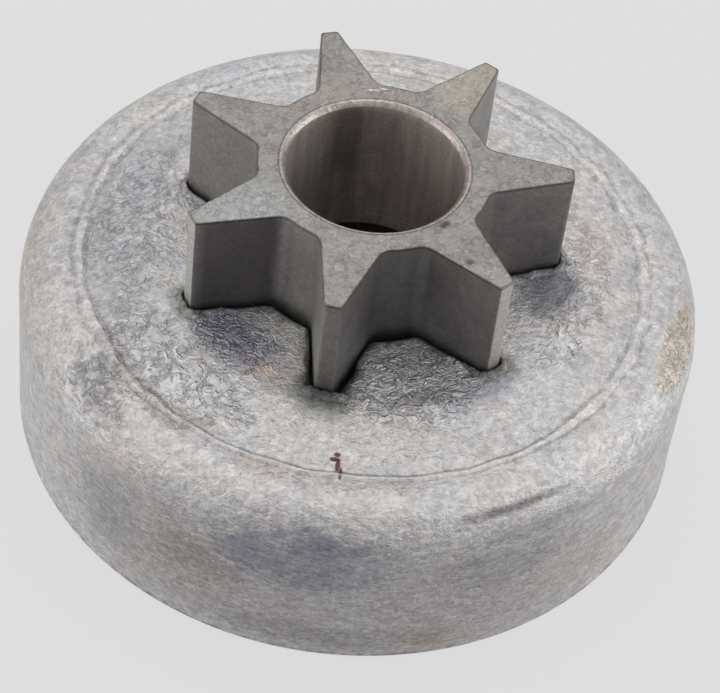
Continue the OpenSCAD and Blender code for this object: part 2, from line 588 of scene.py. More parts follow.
    def _turning(self) -> bpy.types.NodeTree:
        """Builds the fine rings that a lathe or a drill leaves."""
        group, sketch, given, end = self._group(
            "turning_rings", {"Height": 0.0, "Azimuth": 0.0, "Pitch": 0.2, "Drift": 0.3}, ("Ring",)
        )
        drift = sketch.math("SINE", sketch.math("RADIANS", given["Azimuth"]))
        level = sketch.math("MULTIPLY_ADD", drift, given["Drift"], given["Height"])
        line = sketch.place(0.0, 0.0, sketch.math("DIVIDE", level, given["Pitch"]))
        sketch.feed(end.inputs["Ring"], sketch.noise(line, 1.0, 3.0, 0.0, 0.7))
        return group


# ---- Finishes ----


def new_material(name: str) -> tuple[bpy.types.Material, Sketch, bpy.types.Node]:
    """Starts a material.

    Args:
        name: Name of the finish.

    Returns:
        The material, a sketch in its tree and its Principled shader.
    """
    material = bpy.data.materials.new(name)
    material.use_nodes = True
    return material, Sketch(material.node_tree), material.node_tree.nodes["Principled BSDF"]


@dataclass(frozen=True)
class Stain:
    """One patch of another colour on the drum.

    Attributes:
        azimuth: Its middle, in degrees round the axis.
        station: Its middle, as the distance over the drum.
        half_width: Half its width round the drum.
        half_length: Half its length over the drum.
        colour: What it tints the steel with.
        strength: How much it covers, from 0 to 1.
        softness: How soft its border is.
        raggedness: How ragged its border is.
    """

    azimuth: float
    station: float
    half_width: float
    half_length: float
    colour: Colour
    strength: float = 0.6
    softness: float = 0.4
    raggedness: float = 1.5

    def mask(self, sketch: Sketch, effects: Effects, where: dict[str, Socket]) -> Socket:
        """Places the patch.

        Args:
            sketch: Where its nodes go.
            effects: The shared node groups.
            where: The azimuth, radius, station and ragged noise of each place.

        Returns:
            Its cover from 0 to 1.
        """
        return sketch.effect(
            effects.stain,
            middle_azimuth=self.azimuth,
            middle_station=self.station,
            half_width=self.half_width,
            half_length=self.half_length,
            softness=self.softness,
            raggedness=self.raggedness,
            **where,
        )["Mask"]


VIOLET = tone(159, 159, 166)
DEEP_VIOLET = tone(132, 131, 146)
# painted shade round the foot of tooth F
TOOTH_FOOT_SHADE = tone(80, 83, 79)
PINK = tone(202, 190, 187)
BROWN = tone(160, 148, 145)
# painted highlight on the front shoulder
SHOULDER_HIGHLIGHT = tone(206, 201, 195)
PALE = tone(206, 207, 208)
TAN = tone(207, 197, 185)
OLIVE = tone(146, 142, 135)
DULL = tone(190, 189, 191)
BLACK_STEEL = tone(88, 84, 88)
PALE_STEEL = tone(190, 187, 182)
RUST = tone(88, 50, 47)

DRUM_STAINS: tuple[Stain, ...] = (
    # broad changes of tone on web, shoulder and skirt, some of them painted light
    # darker front of the skirt: partly darker scale, partly painted shade on the side the lamps light least
    Stain(-88, 26.0, 22, 9.0, tone(172, 168, 168), 0.7, 0.4, 1.2),
    Stain(-128, 24.0, 9, 7.5, tone(176, 169, 167), 0.6, 0.5, 1.2),
    Stain(172, 4.5, 16, 5.0, tone(172, 172, 177), 0.6, 0.5, 1.4),
    # painted highlight: a pale band along the upper front shoulder
    Stain(-105, 12.4, 20, 2.6, SHOULDER_HIGHLIGHT, 0.3, 0.6, 1.2),
    Stain(-128, 12.4, 7, 2.4, SHOULDER_HIGHLIGHT, 0.4, 0.5, 1.4),
    # pad and tooth feet
    Stain(-137, -3.4, 5.8, 3.0, tone(172, 172, 180), 0.8, 0.2, 1.2),
    Stain(-138, -3.6, 3.4, 1.7, tone(138, 138, 158), 0.6, 0.6, 3.0),
    Stain(-77, -4.5, 6.0, 4.2, DULL, 0.7, 0.3, 1.6),
    Stain(-77, -1.4, 4.0, 1.0, tone(140, 138, 140), 0.5, 0.5, 3.6),
    Stain(-12, -2.6, 4.4, 2.6, tone(106, 106, 118), 0.75, 0.45, 2.4),
    Stain(30, -2.6, 4.0, 2.2, tone(156, 156, 162), 0.6, 0.4, 1.8),
    # painted shade round the feet of teeth F, E and G
    Stain(-102.9, -2.0, 2.9, 2.9, TOOTH_FOOT_SHADE, 0.8, 0.5, 1.0),
    Stain(-51.4, -1.9, 2.3, 2.1, tone(118, 119, 118), 0.7, 0.5, 1.2),
    Stain(-154.3, -1.9, 2.1, 1.8, tone(132, 134, 128), 0.6, 0.5, 1.2),
    Stain(-119.5, -2.0, 2.4, 1.8, tone(190, 176, 170), 0.5, 0.6, 2.6),
    Stain(-119.8, -2.3, 0.9, 0.7, tone(222, 206, 190), 0.7, 0.5, 3.0),
    Stain(-58, -0.2, 4.0, 1.3, tone(166, 166, 180), 0.45, 0.5, 2.0),
    Stain(6, 1.8, 4.0, 2.2, PINK, 0.6, 0.6, 2.4),
    # web
    Stain(-108, 2.4, 3.0, 1.8, tone(216, 209, 204), 0.45, 0.6, 2.6),
    Stain(-88, 1.4, 3.0, 1.4, tone(214, 208, 204), 0.4, 0.6, 2.4),
    Stain(-135, 4.6, 6.5, 2.6, PALE, 0.45, 0.5, 2.2),
    Stain(-148, 7.2, 4.0, 1.0, BROWN, 0.5, 0.6, 3.4),
    Stain(-133, 7.8, 6.0, 1.1, BROWN, 0.5, 0.6, 3.4),
    Stain(-111, 8.8, 3.6, 0.8, tone(186, 172, 167), 0.45, 0.6, 3.2),
    Stain(-95, 9.2, 7.0, 0.9, tone(198, 188, 183), 0.4, 0.6, 3.0),
    Stain(-146, 11.0, 3.4, 2.0, tone(150, 150, 154), 0.55, 0.5, 2.6),
    Stain(-141, 13.0, 3.0, 1.4, tone(154, 152, 154), 0.5, 0.5, 2.6),
    Stain(-131, 15.8, 3.0, 1.4, PINK, 0.5, 0.6, 2.4),
    Stain(-172, 15.0, 13, 3.5, tone(192, 184, 177), 0.5, 0.6, 1.4),
    # shoulder and skirt
    Stain(-17, 13.2, 5.6, 2.7, TAN, 0.8, 0.1, 1.2),
    Stain(-9, 13.8, 3.0, 1.8, tone(184, 172, 158), 0.5, 0.4, 3.0),
    Stain(-100, 19.0, 8.6, 4.4, VIOLET, 0.7, 0.4, 2.6),
    Stain(-97, 17.2, 3.0, 2.0, DEEP_VIOLET, 0.6, 0.6, 3.4),
    Stain(-108, 19.8, 3.2, 2.0, DEEP_VIOLET, 0.5, 0.6, 3.4),
    Stain(-99, 21.5, 4.2, 2.2, tone(134, 134, 142), 0.45, 0.6, 3.0),
    Stain(-117, 23.6, 4.0, 2.2, OLIVE, 0.55, 0.5, 3.0),
    Stain(-135, 24.4, 3.2, 4.4, tone(160, 163, 169), 0.55, 0.5, 2.6),
    Stain(-66, 13.7, 4.8, 0.6, tone(104, 98, 101), 0.75, 0.7, 2.8),
    Stain(-61, 17.4, 5.0, 1.6, tone(154, 153, 158), 0.5, 0.6, 3.0),
    Stain(-66, 21.4, 6.0, 2.4, tone(152, 153, 152), 0.45, 0.5, 2.6),
    Stain(-50, 27.6, 5.0, 3.4, tone(192, 180, 176), 0.45, 0.6, 3.2),
    Stain(-78, 30.8, 3.0, 1.4, tone(160, 145, 128), 0.5, 0.6, 3.4),
    Stain(-97, 30.4, 8.0, 1.6, tone(138, 135, 138), 0.4, 0.6, 3.2),
    # flake of rust on the web
    Stain(-96.4, 5.3, 0.32, 0.28, RUST, 0.9, 0.3, 1.2),
    Stain(-96.8, 5.9, 0.5, 0.28, RUST, 0.9, 0.3, 1.4),
    Stain(-96.1, 6.6, 0.24, 0.7, RUST, 0.9, 0.3, 1.0),
    Stain(-95.4, 7.5, 0.16, 0.75, tone(78, 52, 50), 0.85, 0.3, 0.8),
)

WORM_PLACES: tuple[Stain, ...] = (
    Stain(-140, 4.2, 10, 4.6, DULL, 0.9, 0.5, 1.2),
    Stain(172, 2.6, 12, 5.0, DULL, 0.8, 0.5, 1.2),
    Stain(-146, 11.6, 5.2, 3.6, DULL, 0.9, 0.4, 1.2),
    Stain(-17, 13.2, 5.6, 2.7, DULL, 1.0, 0.2, 1.0),
    Stain(-77, -3.0, 8.0, 4.5, DULL, 0.95, 0.3, 1.0),
    Stain(-135, -3.4, 6.0, 3.2, DULL, 0.9, 0.3, 1.0),
    Stain(-10, 1.2, 11.0, 3.0, DULL, 0.9, 0.4, 1.0),
    Stain(-95, 23.0, 26, 10.0, DULL, 0.65, 0.4, 1.0),
)

TOP_STAINS: tuple[Stain, ...] = (
    Stain(-154, -18.0, 4.0, 5.0, tone(164, 166, 165), 0.7, 0.5, 1.2),
    Stain(51, -17.5, 3.2, 4.0, tone(174, 167, 153), 0.7, 0.5, 1.2),
    Stain(103, -21.5, 6.0, 1.8, tone(160, 150, 146), 0.6, 0.5, 1.6),
    Stain(0, -23.8, 90.0, 0.16, tone(196, 184, 178), 0.7, 0.3, 0.4),
    Stain(0, -23.5, 90.0, 0.08, tone(92, 86, 84), 0.6, 0.4, 1.2),
    Stain(-50, -22.9, 0.5, 0.35, RUST, 0.8, 0.5, 2.2),
    Stain(-55, -17.9, 0.4, 0.3, RUST, 0.6, 0.5, 2.2),
    Stain(90, -22.3, 0.7, 0.14, tone(226, 220, 214), 0.8, 0.4, 1.0),
    Stain(84, -22.0, 0.5, 0.12, tone(226, 220, 214), 0.7, 0.4, 1.0),
)

FLANK_STAINS: tuple[Stain, ...] = (
    Stain(-146.4, -10.0, 1.5, 40.0, BLACK_STEEL, 0.8, 0.12, 0.2),
    Stain(-77.1, -12.0, 2.0, 40.0, BLACK_STEEL, 0.55, 0.3, 0.3),
    Stain(-128.6, -12.0, 2.4, 40.0, PALE_STEEL, 0.28, 0.25, 0.3),
    Stain(-110.0, -10.0, 1.7, 40.0, PALE_STEEL, 0.45, 0.25, 0.3),
    Stain(162.0, -10.0, 2.0, 40.0, PALE_STEEL, 0.3, 0.25, 0.3),
    Stain(44.0, -10.0, 2.0, 40.0, PALE_STEEL, 0.3, 0.25, 0.3),
    Stain(-154.3, -10.0, 0.72, 40.0, tone(214, 211, 205), 0.8, 0.1, 0.2),
    Stain(-51.4, -10.0, 0.72, 40.0, tone(204, 201, 195), 0.7, 0.1, 0.2),
)

BORE_STAINS: tuple[Stain, ...] = (
    Stain(45.0, -14.0, 4.5, 40.0, tone(205, 192, 186), 0.7, 0.4, 0.4),
    Stain(150.0, -14.0, 4.0, 40.0, tone(190, 184, 180), 0.6, 0.4, 0.4),
    Stain(105.0, -20.0, 1.4, 6.0, tone(96, 90, 88), 0.7, 0.5, 0.6),
)


@dataclass(frozen=True)
class ScaleFinish:
    """Dull grey heat scale on drawn steel, with worm lines and stains, and painted light: highlights on dented
    spots, ridges and the bead, shade in furrows, round the tooth feet and along the rim.
    """

    name: str = "drum_scale"
    cool: Colour = tone(204, 206, 208)
    warm: Colour = tone(211, 206, 202)
    shade: Colour = tone(164, 162, 164)
    pink: Colour = tone(212, 201, 198)
    lilac: Colour = tone(188, 188, 197)
    # Painted highlight along the crest of the drawn bead.
    bead: Colour = tone(226, 221, 218)
    roughness: float = 0.5
    # Reach and level of the painted shade round the feet of the teeth.
    foot_shade_reach: float = 1.3
    foot_shade_level: float = 0.46
    stains: tuple[Stain, ...] = ()
    worm_places: tuple[Stain, ...] = ()

    def build(self, effects: Effects) -> bpy.types.Material:
        """Builds the material.

        Args:
            effects: The shared node groups.

        Returns:
            The finished material.
        """
        material, sketch, shader = new_material(self.name)
        station = sketch.effect(effects.station)
        place = station["Millimetres"]
        flat = sketch.vector("MULTIPLY", place, (1.0, 1.0, 2.2))
        where = {
            "azimuth": station["Azimuth"], "radius": station["Radius"],
            "station": station["Station"], "ragged": sketch.noise(flat, 1.7, 6.0, 0.5, 0.72),
        }
        hue = sketch.effect(effects.mottle, place=place, size=6.0, contrast=2.6)["Tone"]
        shifted = sketch.vector("ADD", flat, (9.0, 4.0, 2.0))
        cast = sketch.effect(effects.mottle, place=shifted, size=3.4, contrast=2.6)["Tone"]
        cloud = sketch.effect(effects.mottle, place=flat, size=2.4, contrast=2.4)["Tone"]
        fleck = sketch.effect(effects.mottle, place=flat, size=0.95, contrast=2.6)["Tone"]
        grain = sketch.effect(effects.mottle, place=place, size=0.4, contrast=2.2)["Tone"]
        colour = sketch.mix(hue, self.cool, self.warm)
        colour = sketch.mix(sketch.span(cast, 0.6, 0.9, 0.0, 0.5), colour, self.pink)
        colour = sketch.mix(sketch.span(cast, 0.1, 0.4, 0.5, 0.0), colour, self.lilac)
        colour = sketch.mix(sketch.span(cloud, 0.1, 0.7, 0.4, 0.0), colour, self.shade)
        for stain in self.stains:
            mask = stain.mask(sketch, effects, where)
            colour = sketch.mix(sketch.times(mask, stain.strength), colour, stain.colour)
        shading = sketch.times(
            sketch.span(grain, 0.0, 1.0, 0.86, 1.1), sketch.span(fleck, 0.1, 0.9, 0.87, 1.1)
        )

        amount: Value = 0.24
        for region in self.worm_places:
            mask = region.mask(sketch, effects, where)
            amount = sketch.math("MAXIMUM", amount, sketch.times(mask, region.strength))
        wide = sketch.effect(effects.relief, place=flat, size=1.3, width=0.075, cover=0.58)
        fine = sketch.effect(effects.relief, place=place, size=0.75, width=0.09, cover=0.5)
        furrow = sketch.math("MAXIMUM", wide["Furrow"], sketch.times(fine["Furrow"], 0.7))
        ridge = sketch.math("MAXIMUM", wide["Ridge"], sketch.times(fine["Ridge"], 0.7))
        # Painted relief light: the furrows are painted darker and the ridge beside each paler, besides their
        # bump.
        dark = sketch.math("MULTIPLY_ADD", sketch.times(furrow, amount), -0.36, 1.0)
        pale = sketch.math("MULTIPLY_ADD", sketch.times(ridge, amount), 0.16, 1.0)
        shading = sketch.times(shading, dark, pale)

        crest = sketch.add("ShaderNodeAttribute", attribute_name="crest").outputs["Fac"]
        # Painted light on the drawn bead: its crest is painted paler and the groove beside it darker.
        colour = sketch.mix(sketch.times(sketch.span(crest, 0.2, 0.9), 0.5), colour, self.bead)
        groove = sketch.math("MULTIPLY_ADD", fleck, 0.25, crest)
        shading = sketch.times(shading, sketch.span(groove, -0.7, 0.1, 0.66, 1.0))

        # Painted shade: the scale darkens near the star's edge, round the feet of the teeth.
        foot = sketch.add("ShaderNodeAttribute", attribute_name="foot").outputs["Fac"]
        foot = sketch.math("ADD", foot, sketch.sway(fleck, 0.9))
        # Painted contact shadow: the skirt darkens towards the rim, within about 0.8 mm of the floor.
        rim = sketch.math("ADD", station["Height"], sketch.sway(fleck, 0.6))
        shading = sketch.times(
            shading,
            sketch.span(foot, 0.1, self.foot_shade_reach, self.foot_shade_level, 1.0),
            sketch.span(rim, 0.15, 0.8, 0.6, 1.0),
        )
        colour = sketch.mix(1.0, colour, sketch.place(shading, shading, shading), "MULTIPLY")

        pits = sketch.effect(effects.specks, place=place, spacing=1.5, size=0.075, share=0.4)["Mask"]
        colour = sketch.mix(sketch.times(pits, 0.45), colour, tone(92, 86, 88))
        # Painted highlights: small pale specks standing for the lit sides of dents.
        shifted = sketch.vector("ADD", place, (5.0, 3.0, 9.0))
        dent_glints = sketch.effect(effects.specks, place=shifted, spacing=2.6, size=0.07, share=0.35)["Mask"]
        colour = sketch.mix(sketch.times(dent_glints, 0.6), colour, tone(226, 224, 222))

        sketch.feed(shader.inputs["Base Color"], colour)
        shader.inputs["Metallic"].default_value = 0.9
        rough = sketch.math("ADD", self.roughness - 0.06, sketch.times(cloud, 0.14))
        sketch.feed(shader.inputs["Roughness"], rough)
        height = sketch.times(sketch.math("ADD", wide["Height"], fine["Height"]), amount)
        height = sketch.math("ADD", height, sketch.math("MULTIPLY_ADD", grain, 0.5, fleck))
        height = sketch.math("SUBTRACT", height, sketch.times(pits, 0.9))
        bump = sketch.add("ShaderNodeBump")
        bump.inputs["Strength"].default_value = 0.8
        bump.inputs["Distance"].default_value = 0.09 * MM
        sketch.feed(bump.inputs["Height"], height)
        sketch.feed(shader.inputs["Normal"], bump.outputs[0])
        return material


@dataclass(frozen=True)
class MachinedFinish:
    """Bare machined steel, with rings or scratches and a grimy or bright cast, and where asked painted shade
    along the top edge and at the feet of the teeth and painted light on its relief.
    """

    name: str
    base: Colour
    tint: Colour
    roughness: float
    ring_pitch: float = 0.0
    ring_strength: float = 0.0
    scratch_cover: float = 0.3
    mottle_size: float = 3.0
    metallic: float = 0.9
    relief: float = 0.0
    # Reach of the painted dark line along the star's top edge.
    edge_reach: float = 0.0
    # Depth below the top where the painted shade at the feet of the teeth sets in.
    foot_depth: float = 0.0
    streaks: float = 0.0
    stains: tuple[Stain, ...] = ()

    def build(self, effects: Effects) -> bpy.types.Material:
        """Builds the material.

        Args:
            effects: The shared node groups.

        Returns:
            The finished material.
        """
        material, sketch, shader = new_material(self.name)
        station = sketch.effect(effects.station)
        place = station["Millimetres"]
        cloud = sketch.effect(effects.mottle, place=place, size=self.mottle_size, contrast=2.2)["Tone"]
        grain = sketch.effect(effects.mottle, place=place, size=0.4, contrast=1.6)["Tone"]
        colour = sketch.mix(cloud, self.base, self.tint)
        where = {
            "azimuth": station["Azimuth"], "radius": station["Radius"],
            "station": station["Station"], "ragged": sketch.noise(place, 0.7, 4.0, 0.3, 0.65),
        }
        for stain in self.stains:
            mask = stain.mask(sketch, effects, where)
            colour = sketch.mix(sketch.times(mask, stain.strength), colour, stain.colour)
        shading = sketch.span(grain, 0.0, 1.0, 0.82, 1.14)
        height = sketch.times(grain, 0.5)
        if self.relief:
            folds = sketch.effect(effects.relief, place=place, size=0.7, width=0.11, cover=0.55)
            height = sketch.math("MULTIPLY_ADD", folds["Height"], self.relief, height)
            # Painted relief light: furrows painted darker and ridges paler, besides their bump.
            dark = sketch.math("MULTIPLY_ADD", folds["Furrow"], -0.5 * self.relief, 1.0)
            pale = sketch.math("MULTIPLY_ADD", folds["Ridge"], 0.3 * self.relief, 1.0)
            shading = sketch.times(shading, sketch.times(dark, pale))
        edge = sketch.add("ShaderNodeAttribute", attribute_name="foot").outputs["Fac"]
        if self.edge_reach:
            # Painted shade: a dark line along the star's top edge, on the top and down the flank.
            shading = sketch.times(shading, sketch.span(edge, 0.4 * self.edge_reach, self.edge_reach, 0.5, 1.0))
        if self.foot_depth:
            # Painted shade: the flanks darken towards the web, at the feet of the teeth.
            depth = sketch.math("ADD", edge, sketch.sway(cloud, 1.0))
            foot_shade = sketch.span(depth, self.foot_depth - 1.0, self.foot_depth + 0.3, 1.0, 0.5)
            shading = sketch.times(shading, foot_shade)
        if self.streaks:
            drawn = sketch.vector("MULTIPLY", place, (1.0, 1.0, 0.06))
            streak = sketch.effect(effects.mottle, place=drawn, size=1.7, contrast=2.6)["Tone"]
            low, high = 1.0 - self.streaks, 1.0 + 0.6 * self.streaks
            shading = sketch.times(shading, sketch.span(streak, 0.1, 0.9, low, high))
        colour = sketch.mix(1.0, colour, sketch.place(shading, shading, shading), "MULTIPLY")
        if self.ring_pitch:
            ring = sketch.effect(
                effects.turning,
                height=station["Height"], azimuth=station["Azimuth"], pitch=self.ring_pitch, drift=0.12,
            )["Ring"]
            height = sketch.math("MULTIPLY_ADD", ring, self.ring_strength, height)
            shade = sketch.span(ring, 0.3, 0.7, 0.8, 1.15)
            colour = sketch.mix(1.0, colour, sketch.place(shade, shade, shade), "MULTIPLY")
        marks = sketch.effect(
            effects.scratches, place=place, length=1.1, width=0.2, cover=self.scratch_cover
        )["Mask"]
        colour = sketch.mix(sketch.times(marks, 0.22), colour, tone(205, 202, 198))
        sketch.feed(shader.inputs["Base Color"], colour)
        shader.inputs["Metallic"].default_value = self.metallic
        rough = sketch.math("ADD", self.roughness - 0.05, sketch.times(cloud, 0.1))
        sketch.feed(shader.inputs["Roughness"], rough)
        bump = sketch.add("ShaderNodeBump")
        bump.inputs["Strength"].default_value = 0.4
        bump.inputs["Distance"].default_value = 0.05 * MM
        sketch.feed(bump.inputs["Height"], height)
        sketch.feed(shader.inputs["Normal"], bump.outputs[0])
        return material


# ---- The two pieces ----


class DrumFace(Enum):
    """Finishes on the drum, by the number of their material."""

    OUTSIDE = 0
    SEAT = 1
    WALL = 2
    UNDERSIDE = 3


class SprocketFace(Enum):
    """Finishes on the sprocket, by the number of their material."""

    TOP = 0
    FLANK = 1
    BORE = 2
    COLLAR = 3


@dataclass
class ClutchDrum:
    """Drawn steel cup with a star-shaped hole in its web."""

    form: ToothForm
    outer_r: float = 33.49
    inner_r: float = 31.0
    inner_corner: float = 2.1
    web_z: float = 19.9
    pad_z: float = 21.15
    pad_r: float = 20.5
    bead_r: float = 27.75
    bead_h: float = 0.25
    bead_front: float = -92.0
    shoulder_r: float = 4.6
    web_t: float = 2.5
    rim_break: float = 0.4
    seat_clear: float = 0.15
    gullet_clear: float = 0.6
    roll_r: float = 0.5
    lip_h: float = 0.5
    trench_azimuth: float = -102.86
    recess: float = 0.07
    node: str = "clutch_drum"
    slot: str = "drum_steel"
    waves: Unevenness = field(default_factory=lambda: Unevenness(3, 5, 40))
    ripples: Unevenness = field(default_factory=lambda: Unevenness(11, 30, 150))
    lumps: Unevenness = field(default_factory=lambda: Unevenness(5, 14, 52))

    def web_height(self, radii: np.ndarray) -> np.ndarray:
        """Gives the height of the web's upper side without its bead, with its bends eased."""
        table = np.linspace(0, self.outer_r, 1400)
        bends = [0, self.pad_r, self.bead_r, self.outer_r]
        shape = np.interp(table, bends, [self.pad_z, self.pad_z, self.web_z, self.web_z])
        kernel = np.exp(-np.linspace(-2.4, 2.4, 61) ** 2)
        eased = np.convolve(np.pad(shape, 30, mode="edge"), kernel / kernel.sum(), "valid")
        return np.interp(radii, table, np.minimum(eased, self.pad_z))

    def bead_form(self, radii: np.ndarray, angles: np.ndarray) -> tuple[np.ndarray, np.ndarray]:
        """Forms the drawn bead, which is a fine line at the front and lumpy elsewhere.

        Args:
            radii: Distances of the places from the axis.
            angles: Their angles round the axis, in radians.

        Returns:
            The height of each place over the web, and how far it is on the bead (up to 1)
            or in the groove beside it (down to -1).
        """
        lumpy = smooth_step(30, 58, angle_gap(angles, self.bead_front))
        lumps = smooth_step(-0.3, 0.4, self.lumps.at(angles) + 0.3 * self.ripples.at(angles))
        share = (0.7 + 0.15 * self.waves.at(angles)) * (1 - lumpy) + (0.5 + 0.5 * lumps) * lumpy
        half = 0.26 * (1 - lumpy) + (0.42 + 0.18 * lumps) * lumpy
        middle = self.bead_r + 0.14 * self.waves.at(angles + 2) + 0.06 * self.ripples.at(angles) * lumpy
        off = (radii - middle) / half
        top = np.clip(1 - off**2, 0, 1) ** 0.7 * share
        groove = np.exp(-(((np.abs(off) - 1.35) / 0.4) ** 2)) * share * (1 - 0.5 * lumpy * lumps)
        return self.bead_h * top - 0.05 * groove, np.clip(top - groove, -1, 1)

    def outside(self, loft: Loft) -> None:
        """Adds the rings from the hole's lower edge over the web and the skirt to the rim."""
        plain = self.form.outline(self.seat_clear, self.gullet_clear)
        tip_share = smooth_step(14.4, 17.2, plain.radii)
        tip_end = smooth_step(18.6, 19.0, plain.radii)
        near_trench = smooth_step(14, 9, angle_gap(plain.angles, self.trench_azimuth))
        trench = smooth_step(14.0, 16.0, plain.radii) * (1 - tip_end) * near_trench
        far_side = smooth_step(-2.0, 2.0, np.degrees(plain.angles) - self.trench_azimuth)
        shift = trench * (0.12 + 0.28 * far_side) - 0.1 * tip_end
        hole = Outline(plain.moved(shift), plain.normals)
        uneven = self.ripples.at(hole.angles)
        roll = self.roll_r + (0.3 - self.roll_r) * tip_share - 0.12 * tip_end + 0.4 * trench
        lip = self.lip_h * np.clip(tip_share * (0.6 + 0.35 * uneven) * (1 - trench) + 0.3 * tip_end, 0, 1)
        floor_z = self.pad_z - self.web_t
        for height in (floor_z, floor_z + 0.9, self.pad_z - 1.1, self.pad_z - 0.7):
            loft.ring(hole.points, height, DrumFace.SEAT, 0.0)
        for step in range(6):
            angle = math.pi / 2 * step / 5
            distance = roll * (1 - math.cos(angle))
            rise = lip * smooth_step(0, 1, np.minimum(distance / roll, 1))
            height = self.pad_z - roll * (1 - math.sin(angle)) + rise
            loft.ring(hole.moved(distance), height, DrumFace.OUTSIDE, distance)
        for share in (0.25, 0.5, 0.75, 1.0):
            distance = roll + (np.maximum(0.85, roll + 0.1) - roll) * share
            fall = 1 - smooth_step(0.35, 0.95, distance)
            loft.ring(hole.moved(distance), self.pad_z + lip * fall, DrumFace.OUTSIDE, distance)
        self._web(loft, hole, hole.moved(distance), lip)

    def _web(self, loft: Loft, hole: Outline, start: np.ndarray, lip: np.ndarray) -> None:
        """Adds the rings from the lips to the rim.

        Args:
            loft: Where the rings go.
            hole: Outline of the star-shaped hole.
            start: The last places round the lips.
            lip: Height of the lip at each column.
        """
        angles = np.arctan2(start[:, 1], start[:, 0])
        rays = np.column_stack([np.cos(angles), np.sin(angles)])
        first_r = np.hypot(start[:, 0], start[:, 1])
        inner = [(share, None) for share in (np.arange(1, 13) / 12) ** 1.15]
        outer = [(None, r) for r in np.concatenate([
            np.linspace(20.9, 26.7, 13), np.linspace(26.85, 28.65, 16), np.array([28.8, 28.9])
        ])]
        for share, radius in inner + outer:
            if radius is None:
                radii = first_r + (self.pad_r - first_r) * share
            else:
                radii = np.full(len(angles), radius)
            plane = rays * radii[:, None]
            foot = self._foot(hole, plane)
            swell = 0.035 * (self.waves.at(angles, radii) - 1) * smooth_step(0.8, 2.5, foot)
            tail = lip * (1 - smooth_step(0.35, 0.95, foot))
            rise, crest = self.bead_form(radii, angles)
            loft.ring(plane, self.web_height(radii) + rise + swell + tail, DrumFace.OUTSIDE, foot, crest)
        shoulder = self.outer_r - self.shoulder_r
        for angle in np.radians(np.linspace(5, 90, 17)):
            depth = 0.02 * np.clip(1 - self.waves.at(angles, angle * 4), 0, 2)
            radii = shoulder + (self.shoulder_r - depth) * math.sin(angle)
            height = self.web_z - self.shoulder_r + (self.shoulder_r - depth) * math.cos(angle)
            loft.ring(rays * radii[:, None], height, DrumFace.OUTSIDE)
        left_crease = smooth_step(24, 12, angle_gap(angles, -128))
        crease = np.maximum(left_crease, smooth_step(28, 14, angle_gap(angles, -28)))
        for height in np.concatenate([np.array([15.0, 14.8, 14.55, 14.3, 14.0]), np.linspace(13.4, 0.9, 17)]):
            step = smooth_step(15.1, 14.4, np.full(len(angles), height))
            depth = 0.012 * (1 - self.waves.at(angles, height))
            depth += self.recess * crease * step * (0.7 + 0.3 * step)
            loft.ring(rays * (self.outer_r - np.clip(depth, 0, 0.1))[:, None], height, DrumFace.OUTSIDE)
        self._inside(loft, rays, hole)

    def _foot(self, hole: Outline, plane: np.ndarray) -> np.ndarray:
        """Gives how far places are from the edge of the star-shaped hole, up to 9 mm."""
        if np.hypot(*plane[0]) > self.pad_r + 4:
            return np.full(len(plane), 9.0)
        gaps = plane[:, None, :] - hole.points[None, :, :]
        return np.minimum(np.sqrt((gaps**2).sum(-1)).min(1), 9.0)

    def _inside(self, loft: Loft, rays: np.ndarray, hole: Outline) -> None:
        """Adds the rings round the rim, up the friction wall and under the web.

        Args:
            loft: Where the rings go.
            rays: Directions of the columns.
            hole: Outline of the star-shaped hole.
        """
        cut = self.rim_break
        profile = [
            (self.outer_r, cut + 0.08, DrumFace.OUTSIDE),
            (self.outer_r - 0.05, cut - 0.08, DrumFace.OUTSIDE),
            (self.outer_r - cut + 0.06, 0.05, DrumFace.OUTSIDE),
            (self.outer_r - cut - 0.08, 0.0, DrumFace.WALL),
            (self.inner_r + cut + 0.08, 0.0, DrumFace.WALL),
            (self.inner_r + cut - 0.06, 0.05, DrumFace.WALL),
            (self.inner_r + 0.05, cut - 0.08, DrumFace.WALL),
            (self.inner_r, cut + 0.08, DrumFace.WALL),
        ]
        top = self.web_z - self.web_t - self.inner_corner
        profile += [(self.inner_r, z, DrumFace.WALL) for z in np.linspace(2.5, top, 6)]
        middle = self.inner_r - self.inner_corner
        for angle in np.radians([20, 40, 60, 80, 90]):
            radius = middle + self.inner_corner * math.cos(angle)
            profile.append((radius, top + self.inner_corner * math.sin(angle), DrumFace.UNDERSIDE))
        under = self.pad_z - self.web_t
        profile += [
            (self.bead_r, self.web_z - self.web_t, DrumFace.UNDERSIDE),
            (24.1, (self.web_z - self.web_t + under) / 2, DrumFace.UNDERSIDE),
            (self.pad_r + 0.3, under - 0.05, DrumFace.UNDERSIDE),
            (self.pad_r - 0.3, under, DrumFace.UNDERSIDE),
        ]
        for radius, height, face in profile:
            loft.ring(rays * radius, height, face)
        last = rays * (self.pad_r - 0.3)
        for share in (0.35, 0.75):
            loft.ring(last + (hole.points - last) * share, under, DrumFace.UNDERSIDE)

    def finishes(self, effects: Effects) -> list[bpy.types.Material]:
        """Builds the materials, in the order of DrumFace."""
        outside = ScaleFinish(stains=DRUM_STAINS, worm_places=WORM_PLACES)
        seat = MachinedFinish("drum_seat", tone(70, 68, 66), tone(92, 90, 88), 0.5)
        wall = MachinedFinish(
            "drum_friction_wall", tone(168, 164, 160), tone(140, 134, 130), 0.38,
            ring_pitch=0.16, ring_strength=1.2, scratch_cover=0.2, mottle_size=5.0,
        )
        under = MachinedFinish(
            "drum_underside", tone(140, 138, 140), tone(112, 108, 108), 0.5, mottle_size=4.0
        )
        return [outside.build(effects), seat.build(effects), wall.build(effects), under.build(effects)]

